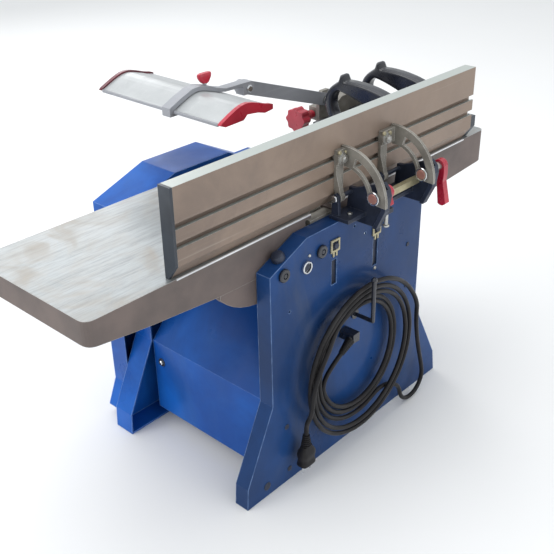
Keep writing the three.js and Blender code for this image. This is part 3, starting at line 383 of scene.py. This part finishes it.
def lathe(bm, profile, centre, axis, sides=32):
    """Adds a turned solid: (radius, distance along the axis) in millimetres, from a point in metres."""
    place = Matrix.Translation(centre) @ basis(axis)
    rings = []
    for radius, along in profile:
        angles = [2 * math.pi * i / sides for i in range(sides)]
        ring = [bm.verts.new(place @ (Vector((radius * math.cos(a), radius * math.sin(a), along)) / 1000))
                for a in angles]
        rings.append(ring)
    for low, high in zip(rings, rings[1:]):
        for i in range(sides):
            j = (i + 1) % sides
            bm.faces.new((low[i], low[j], high[j], high[i]))
    bm.faces.new(list(reversed(rings[0])))
    bm.faces.new(rings[-1])


def hexagon(bm, across, height, centre, axis):
    """Adds a chamfered hexagon head."""
    radius = across / math.sqrt(3)
    profile = [(radius * 0.9, 0), (radius, 0.4), (radius, height - 1.2), (radius * 0.84, height)]
    lathe(bm, profile, centre, axis, 6)


def oval_stack(bm, rows, x, y, z, sides, power):
    """Adds a solid of rounded oblong rings, each (half width, half depth, height), above a point."""
    loops = []
    for half_x, half_y, height in rows:
        ring = []
        for i in range(sides):
            a = 2 * math.pi * i / sides
            c, sine = math.cos(a), math.sin(a)
            ring.append(bm.verts.new(p(x + half_x * math.copysign(abs(c) ** power, c),
                                       y + half_y * math.copysign(abs(sine) ** power, sine), z + height)))
        loops.append(ring)
    for low, high in zip(loops, loops[1:]):
        for i in range(sides):
            bm.faces.new((low[i], low[(i + 1) % sides], high[(i + 1) % sides], high[i]))
    bm.faces.new(loops[0])
    bm.faces.new(loops[-1])


def slab(bm, low, high, rim=0.6):
    """Adds a box with bevelled edges, between two corners in metres."""
    made = bmesh.ops.create_cube(bm, size=1.0)["verts"]
    middle, size = (low + high) / 2, high - low
    for v in made:
        v.co = Vector((v.co[k] * size[k] for k in range(3))) + middle
    edges = list({e for v in made for e in v.link_edges})
    bmesh.ops.bevel(bm, geom=edges, offset=rim / 1000, segments=2, affect="EDGES", profile=0.6)


# ---- mains cord ----------------------------------------------------------------------------

CORD_RADIUS = 4.5
CORD_Y = -46
COIL_X, COIL_Z = 40, 192
NEAR_LAYER, FAR_LAYER = -5, 5  # the turns that lie outermost, and those that lie against the panel
STEP = 15  # degrees between two points of a turn

# Points in X and Z, with the distance from the coil's own plane towards the panel.
LEAD = [(-11.3, 244.8, 0), (-28, 234, 0), (-40, 225, 1), (-57.5, 208.9, 3), (-65.2, 199, 4),
        (-69.9, 187.4, 4.8)]
FILLET = [(97.7, 81.1, 5), (109.7, 81.9, 5), (121.6, 80.7, 5), (133.1, 77.4, 5), (144.1, 72.5, 4.5),
          (154.3, 66.1, 2.5)]
LOOP = [(163.4, 58.2, 1.5), (169.6, 47.9, 0.5), (174.9, 31.5, 0), (184.7, 17.2, 0), (199.6, 8.5, 0),
        (216.9, 6.8, 0), (233.2, 12.6, 0), (245.5, 24.7, 0), (251.6, 40.9, 0), (250.8, 56.2, 0),
        (245.5, 77, 0), (235, 110, 0), (224.5, 150, 0), (217.5, 190, 0), (214.5, 214, -1)]
TAIL = [(-131, 142, -9), (-128, 130, -4), (-125.4, 118, -1), (-125, 106, 0)]

# Degrees round the coil and the distance from its middle, along the line of the cord.
INNER_TURNS = [(188, 112.3), (270, 99), (360, 96), (450, 117), (540, 122), (630, 110), (720, 106), (810, 127),
               (900, 132), (1012, 123)]
OUTER_TURNS = [(16, 173), (45, 164), (90, 157), (180, 159), (270, 151), (360, 145), (450, 147), (540, 149),
               (630, 139), (720, 131), (810, 137), (840, 138), (860, 142), (880, 150), (900, 163), (911, 172)]
CROSSING = (840, 872)  # where the last turn starts to lift, and where it lies over the others
CROSSING_LIFT = 9.5


def radius_at(turns, degrees):
    """The radius at an angle, on a smooth line through the given ones."""
    i = max(k for k in range(len(turns) - 1) if turns[k][0] <= degrees)
    (a0, r0), (a1, r1) = turns[i], turns[i + 1]
    before = turns[max(i - 1, 0)]
    after = turns[min(i + 2, len(turns) - 1)]
    slope0 = (r1 - before[1]) / (a1 - before[0])
    slope1 = (after[1] - r0) / (after[0] - a0)
    t = (degrees - a0) / (a1 - a0)
    span = a1 - a0
    return ((2 * t**3 - 3 * t**2 + 1) * r0 + (t**3 - 2 * t**2 + t) * span * slope0
            + (3 * t**2 - 2 * t**3) * r1 + (t**3 - t**2) * span * slope1)


def lift_at(degrees):
    """How far the crossing part of the last turn stands in front of the outer layer."""
    start, over = CROSSING
    share = min(max((degrees - start) / (over - start), 0.0), 1.0)
    return -CROSSING_LIFT * share * share * (3 - 2 * share)


def turns_of(turns, layer, lifted=False):
    first, last = turns[0][0], turns[-1][0]
    count = round((last - first) / STEP)
    made = []
    for i in range(count + 1):
        degrees = first + (last - first) * i / count
        radius = radius_at(turns, degrees)
        a = math.radians(degrees)
        offset = layer + (lift_at(degrees) if lifted else 0)
        made.append(p(COIL_X + radius * math.cos(a), CORD_Y + offset, COIL_Z + radius * math.sin(a)))
    return made


def placed(points):
    return [p(x, CORD_Y + offset, z) for x, z, offset in points]


route = (placed(LEAD) + turns_of(INNER_TURNS, FAR_LAYER) + placed(FILLET) + placed(LOOP)
         + turns_of(OUTER_TURNS, NEAR_LAYER, lifted=True) + placed(TAIL))

curve = bpy.data.curves.new("mains_cord", "CURVE")
curve.dimensions = "3D"
curve.bevel_depth = CORD_RADIUS / 1000
curve.bevel_resolution = 5
curve.resolution_u = 5
curve.use_fill_caps = True
spline = curve.splines.new("BEZIER")
spline.bezier_points.add(len(route) - 1)
for knot, place in zip(spline.bezier_points, route):
    knot.co = place
    knot.handle_left_type = knot.handle_right_type = "AUTO"
cord = bpy.data.objects.new("mains_cord", curve)
bpy.context.collection.objects.link(cord)
curve.materials.append(look["rubber"])
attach(cord, "cabinet")
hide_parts("cord_lead", "cord_coil", "cord_loop", "cord_tail")

# The tapered strain relief at the gland, with its ribs.
relief = bmesh.new()
leave = (p(-28, CORD_Y, 234) - p(-11.3, CORD_Y, 244.8)).normalized()
ribs = []
for i in range(9):
    radius = 9.4 - 0.42 * i
    start = 3.6 * i
    ribs += [(radius, start), (radius, start + 2.2),
             (radius - 1.3, start + 2.5), (radius - 1.3, start + 3.3)]
lathe(relief, ribs, p(-11.3, CORD_Y, 244.8) - leave * 0.012, leave, 28)
relief = piece("cord_relief", relief, "rubber", "cabinet")

# The plug: a waisted body with grip ridges, a ribbed boot and two round pins.
PLUG_X, PLUG_Z = -125, 106
plug = bmesh.new()
rows = [(11, 7.5, -24), (11.5, 8.2, -27), (15, 10.5, -32), (18, 12, -38), (18, 12, -45), (16.6, 11, -50),
        (16.6, 11, -56), (18, 12, -60), (18, 12, -65), (17, 11, -66)]
oval_stack(plug, rows, PLUG_X, CORD_Y, PLUG_Z, 32, 0.55)
boot = []
for i in range(6):
    radius = 6.6 + 0.62 * i
    start = 4.1 * i
    boot += [(radius, start + 0.5), (radius, start + 2.8),
             (radius - 1.1, start + 3.2), (radius - 1.1, start + 4.2)]
lathe(plug, boot, p(PLUG_X, CORD_Y, PLUG_Z), (0, 0, -1), 24)
plug = piece("plug_body", plug, "rubber", "cabinet")
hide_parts("cord_plug")
pins = bmesh.new()
for side in (-9.5, 9.5):
    lathe(pins, [(2.4, 0), (2.4, 16.5), (1.6, 18.5)], p(PLUG_X + side, CORD_Y, PLUG_Z - 65), (0, 0, -1), 20)
pins = piece("plug_pins", pins, "chrome", "cabinet")


# ---- push blocks ---------------------------------------------------------------------------

BLOCKS = {"push_block_1": 330, "push_block_2": 455}
FOOT = 505.3
RIM = 7  # radius of the grip's rounded edges

# Bezier knots of the grip, in Y and Z above its foot: (place, handle before, handle after).
GRIP_OUTER = [
    ((270, 12), (240, 12), (276, 22)), ((284, 50), (283, 34), (286, 74)), ((250, 102), (272, 88), (248, 106)),
    ((245, 115), (247, 109), (243, 118)), ((236, 115), (238, 118), (234, 112)),
    ((231, 106), (233, 109), (205, 108)),
    ((132, 96), (165, 106), (92, 84)), ((78, 12), (76, 50), (110, 12)),
]
GRIP_HOLE = [
    ((258, 32), (250, 27), (268, 52)), ((248, 82), (268, 74), (222, 78)), ((150, 52), (190, 68), (128, 44)),
    ((122, 28), (116, 36), (160, 26)), ((240, 25), (200, 24), (250, 26)),
]


def grip_spline(data, knots):
    made = data.splines.new("BEZIER")
    made.bezier_points.add(len(knots) - 1)
    made.use_cyclic_u = True
    for knot, (place, before, after) in zip(made.bezier_points, knots):
        knot.handle_left_type = knot.handle_right_type = "FREE"
        knot.co, knot.handle_left, knot.handle_right = [
            Vector(((y + SHIFT_Y) / 1000, (z + FOOT) / 1000, 0)) for y, z in (place, before, after)]


for name, x in BLOCKS.items():
    data = bpy.data.curves.new(f"{name}_grip", "CURVE")
    data.dimensions = "2D"
    data.fill_mode = "BOTH"
    data.resolution_u = 14
    data.extrude = (14 - RIM) / 1000
    data.bevel_depth = RIM / 1000
    data.bevel_resolution = 5
    data.offset = -RIM / 1000
    grip_spline(data, GRIP_OUTER)
    grip_spline(data, GRIP_HOLE)
    data.materials.append(look["black"])
    grip = bpy.data.objects.new(f"{name}_grip", data)
    bpy.context.collection.objects.link(grip)
    grip.matrix_world = Matrix.Translation(Vector((x / 1000, 0, 0))) @ Matrix(
        ((0, 0, 1, 0), (1, 0, 0, 0), (0, 1, 0, 0), (0, 0, 0, 1)))
    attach(grip, name)
    base = bmesh.new()
    slab(base, p(x - 42, 62, FOOT + 3), p(x + 42, 292, FOOT + 14), 2.5)
    base = piece(f"{name}_base", base, "black", name)
    sole = bmesh.new()
    slab(sole, p(x - 41, 63, FOOT), p(x + 41, 291, FOOT + 3.4), 0.8)
    sole = piece(f"{name}_sole", sole, "rubber", name)
    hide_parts(name)


# ---- fittings on the back panel ------------------------------------------------------------

PANEL_FACE = -22.0
BACK = (0, -1, 0)

BRACKETS = [(-22, 446), (98, 435)]

plates = bmesh.new()
for x, z in BRACKETS:
    for low, high in (((-12, -12), (-8, 12)), ((8, -12), (12, 12)), ((-8, 8), (8, 12)), ((-8, -12), (8, -8))):
        slab(plates, p(x + low[0], PANEL_FACE - 3.2, z + low[1]),
             p(x + high[0], PANEL_FACE - 0.05, z + high[1]), 0.5)
    for dx in (-4, 4):
        slab(plates, p(x + dx - 2, PANEL_FACE - 2.6, z - 21), p(x + dx + 2, PANEL_FACE - 0.05, z - 12.2), 0.5)
piece("slot_plates", plates, "zinc", "cabinet")

studs = bmesh.new()
for x, z in BRACKETS:
    lathe(studs, [(7.8, 0), (7.8, 1.6)], p(x, PANEL_FACE - 0.05, z), BACK, 28)
    hexagon(studs, 11, 5, p(x, PANEL_FACE - 1.6, z), BACK)
for x, z, radius in ((-151, 127, 5.5), (-145, 26, 5.5), (-206, 23, 8.5), (204, 362, 4.5), (206, 269, 4.5)):
    lathe(studs, [(radius, 0), (radius, 0.8), (radius * 0.8, 1.8)], p(x, PANEL_FACE - 0.05, z), BACK, 24)
piece("slot_studs", studs, "dark", "cabinet")

# Dark plates behind the two long slots: painted shade that makes the slots read dark, given the shape of
# sliding plates.
slot_shade = bmesh.new()
for x, low, high in ((-22, 369, 418), (98, 359, 419)):
    slab(slot_shade, p(x - 12, PANEL_FACE + 3.1, low - 8), p(x + 12, PANEL_FACE + 6, high + 8), 0.5)
piece("slot_shade_plates", slot_shade, "dark", "cabinet")

screws = bmesh.new()
for x, z, radius in ((-89, 452, 3.0), (98, 353, 3.6)):
    lathe(screws, [(radius, 0), (radius, 1.0), (radius * 0.7, 2.2)], p(x, PANEL_FACE - 0.05, z), BACK, 20)
piece("panel_screws", screws, "steel", "cabinet")

# A rubber bumper on the panel's sloping edge.
bumper = bmesh.new()
lathe(bumper, [(12, 0), (12, 6), (10.5, 10), (7, 12)], p(-149, -7, 464.3), (-0.394, 0, 0.919), 32)
piece("edge_bumper", bumper, "dark", "cabinet")

# The socket of the depth adjuster: a plated ring round a dark hexagon hole.
ring = bmesh.new()
lathe(ring, [(11.4, 0), (11.5, 0.6), (11.5, 4.6), (10.6, 5.6), (9.2, 5.6), (8.6, 4.8), (8.6, 1.2)],
      p(-98, PANEL_FACE - 0.35, 434), BACK, 40)
ring = piece("adjuster_ring", ring, "chrome", "depth_adjuster")
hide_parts("depth_adjuster")
core = bmesh.new()
hexagon(core, 14.6, 3.2, p(-98, PANEL_FACE - 0.4, 434), BACK)
piece("adjuster_core", core, "dark", "depth_adjuster")

# Grips of the two lock bolts, and hexagon recesses.
for name, x, z in (("lock_grip_left", -154, 441), ("lock_grip_right", -58, 448)):
    grip = bmesh.new()
    lathe(grip, [(11.6, 0), (12, 0.5), (12, 3.8), (10.6, 5.4), (5.6, 5.8), (5.2, 3.0)],
          p(x, PANEL_FACE - 0.2, z), BACK, 40)
    hexagon(grip, 8, 3.5, p(x, PANEL_FACE - 2.2, z), BACK)
    grip = piece(name, grip, "black", "cabinet")
    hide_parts(name.replace("grip", "bolt"))

# A bolt through each apron, on a dark washer.
washers = bmesh.new()
bolts = bmesh.new()
for x, side in ((-182.1, -1), (242.1, 1)):
    lathe(washers, [(9, 0), (9, 1.2)], p(x, 283, 147), (side, 0, 0), 28)
    lathe(bolts, [(5, 0), (5, 2.4), (3.4, 4.2)], p(x + 1.2 * side, 283, 147), (side, 0, 0), 24)
piece("apron_washers", washers, "dark", "cabinet")
piece("apron_bolts", bolts, "chrome", "cabinet")


# ---- fittings on the belt cover and switch -------------------------------------------------

cover = bmesh.new()
for x, z in ((-190, 90), (146, 90), (-190, 440), (146, 440), (-22, 498), (-22, 40)):
    lathe(cover, [(7.2, 0), (7.2, 1.1)], p(x, 399.9, z), (0, 1, 0), 28)
    lathe(cover, [(4.6, 0), (4.6, 1.8), (3.2, 3.0)], p(x, 401.0, z), (0, 1, 0), 24)
piece("cover_screws", cover, "steel", "cabinet")

louvres = bmesh.new()
for i in range(5):
    slab(louvres, p(-92, 399.9, 120 + 24 * i), p(40, 404.6, 130 + 24 * i), 2.2)
piece("cover_louvres", louvres, "paint", "cabinet")

bezel = bmesh.new()
for z in (355, 325):
    lathe(bezel, [(13.2, 0), (13.2, 1.0), (12.2, 1.8), (11.2, 1.8), (11.0, 0.2)],
          p(95, 425.9, z), (0, 1, 0), 40)
slab(bezel, p(74, 425.9, 303), p(116, 426.9, 306), 0.3)
slab(bezel, p(74, 425.9, 374), p(116, 426.9, 377), 0.3)
piece("switch_bezel", bezel, "cap", "cabinet")


# ---- fence, quadrant and guard fittings ----------------------------------------------------

SIDES = ((24, 14.5, 21), (166, 32, 44))  # plane of each side, its leg's offset, and its lever's face
HINGE_Y, HINGE_Z = -9, 524
CLAMP_Y, CLAMP_Z = -74, 535.46

heads = bmesh.new()
for x, offset, _ in SIDES:
    lathe(heads, [(10, 0), (10, 1.5)], p(x - offset, -11.05, 594), BACK, 28)
    lathe(heads, [(4, 0), (3.4, 1.5)], p(x - offset, -17.3, 594), BACK, 20)
piece("head_washers", heads, "steel", "quadrants")

bosses = bmesh.new()
for x, offset, _ in SIDES:
    for dx, z in ((-8, 605), (9, 602)):
        hexagon(bosses, 7, 4, p(x - offset + dx, -9.2, z), BACK)
piece("head_screws", bosses, "zinc", "quadrants")

knuckles = bmesh.new()
for x, offset, _ in SIDES:
    lathe(knuckles, [(6.6, 0), (6.6, 1.4), (5.2, 2.4)], p(x - offset - 18, HINGE_Y, HINGE_Z), (-1, 0, 0), 28)
piece("pin_ends", knuckles, "chrome", "cabinet")

caps = bmesh.new()
discs = bmesh.new()
for x, offset, face in SIDES:
    hexagon(caps, 11, 5, p(x + face + 16.9, CLAMP_Y, CLAMP_Z), (1, 0, 0))
    lathe(caps, [(12.5, 0), (12.5, 1.6), (11.4, 2.4), (9.4, 2.4), (9.2, 1.2)], p(x - 10.2, CLAMP_Y, CLAMP_Z),
          (-1, 0, 0), 36)
    lathe(discs, [(9.0, 0), (9.0, 2.0), (8, 2.8)], p(x - 10.2, CLAMP_Y, CLAMP_Z), (-1, 0, 0), 32)
piece("clamp_nuts", caps, "chrome", "cabinet")
piece("clamp_discs", discs, "copper", "cabinet")

feet = bmesh.new()
for x, offset, _ in SIDES:
    hexagon(feet, 8, 4, p(x - offset + 2, -28, 494.25), (0, 0, 1))
piece("carrier_bolts", feet, "steel", "cabinet")

# A near-white strip along the back edge of each table, beside the fence: a painted highlight standing in for
# the light on the ground arris there.
for table, low, high, body in (("infeed", -352, -48, "infeed_table"), ("outfeed", 8, 436, "cabinet")):
    arris = bmesh.new()
    slab(arris, p(low, 9.5, 502.3), p(high, 12.5, 505.12), 0.3)
    piece(f"{table}_arris", arris, "ground", body)

# The rolled lip along the toe of the guard plate, which runs in the saddle's hook.
lip = bmesh.new()
slab(lip, p(-102.6, 171.5, 637.2), p(-99.05, 488.5, 642.6), 0.8)
piece("guard_lip", lip, "arm", "guard_plate")

# The wing knob on its plated stem.
WING_X, WING_Y = -14, 294.8
wing = bmesh.new()
rows = [(7, 6, 672), (9, 6.5, 673.5), (15, 6, 681), (16.5, 5.6, 685), (15.6, 5.2, 689), (13.5, 4.4, 690)]
oval_stack(wing, rows, WING_X, WING_Y, 0, 28, 0.7)
wing = piece("wing_grip", wing, "red", "wing_knob")
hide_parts("wing_knob")
stem = bmesh.new()
lathe(stem, [(3.6, 0), (3.6, 5), (5.2, 5.2), (5.2, 7)], p(WING_X, WING_Y, 665.5), (0, 0, 1), 24)
piece("wing_stem", stem, "chrome", "wing_knob")

jaw = bmesh.new()
hexagon(jaw, 10, 4, p(91, 317.1, 638.5), (0, 1, 0))
lathe(jaw, [(7.5, 0), (7.5, 1.6), (5.4, 3.6)], p(91, 283.9, 638.5), BACK, 28)
piece("head_pin_nut", jaw, "chrome", "guard_head")

pivot = bmesh.new()
lathe(pivot, [(8.5, 0), (8.5, 1.2)], p(350, 321.5, 551), (0, 1, 0), 28)
hexagon(pivot, 12, 5, p(350, 322.7, 551), (0, 1, 0))
for x, z in ((408, 530), (456, 530), (408, 458), (456, 458)):
    lathe(pivot, [(5.5, 0), (5.5, 4.5), (4.6, 5.4)], p(x, 335.9, z), (0, 1, 0), 24)
piece("bracket_screws", pivot, "steel", "cabinet")


# ---- cutter screws -------------------------------------------------------------------------

CUTTER_X, CUTTER_Z = -20, 470
POCKETS = (108, 288)  # degrees, turned from up towards +X
SCREW_SEAT = 0.0330  # metres from the axis
screws = bmesh.new()
for pocket in POCKETS:
    a = math.radians(pocket)
    out = Vector((math.sin(a), 0, math.cos(a)))
    for i in range(6):
        centre = p(CUTTER_X, 56 + 40 * i, CUTTER_Z) + out * SCREW_SEAT
        hexagon(screws, 8, 1.4, centre, out)
piece("gib_screws", screws, "dark", "cutter")


# ---- stage ---------------------------------------------------------------------------------

ground = bmesh.new()
bmesh.ops.create_grid(ground, x_segments=2, y_segments=2, size=20)
mesh = bpy.data.meshes.new("floor")
ground.to_mesh(mesh)
ground.free()
floor = bpy.data.objects.new("floor", mesh)
bpy.context.collection.objects.link(floor)
floor.location.z = -0.0006
paper = Surface("floor_paper", Metallic=0.0)
mesh.materials.append(paper.finish(
    paper.mix(srgb(243, 243, 243), srgb(238, 238, 238), paper.noise(0.8)),
    paper.steps(paper.noise(2.0), 0.3, 0.7, 0.75, 0.85),
    paper.bump(paper.noise(40.0), 0.02, 0.0005)))

world = bpy.data.worlds.new("studio")
bpy.context.scene.world = world
world.use_nodes = True
world.node_tree.nodes["Background"].inputs["Color"].default_value = (0.95, 0.98, 1.0, 1.0)
world.node_tree.nodes["Background"].inputs["Strength"].default_value = 0.85


def softbox(name, place, target, size, power, tint=(1.0, 1.0, 1.0)):
    lamp = bpy.data.lights.new(name, "AREA")
    lamp.shape = "RECTANGLE"
    lamp.size, lamp.size_y = size
    lamp.energy = power
    lamp.color = tint
    made = bpy.data.objects.new(name, lamp)
    bpy.context.collection.objects.link(made)
    made.location = place
    made.rotation_mode = "QUATERNION"
    made.rotation_quaternion = (Vector(target) - Vector(place)).to_track_quat("-Z", "Y")


softbox("key", (-2.6, 0.9, 2.6), (0, 0, 0.3), (2.4, 1.8), 45)
softbox("top", (0.3, 0.5, 3.2), (0, 0, 0.4), (3.0, 2.2), 30)
softbox("fill", (0.4, -3.4, 1.1), (0, 0, 0.3), (2.6, 1.8), 22, (0.95, 0.97, 1.0))
softbox("front", (1.2, 3.2, 2.0), (0, 0, 0.3), (2.2, 1.6), 25)

bpy.context.scene.view_settings.view_transform = "Standard"
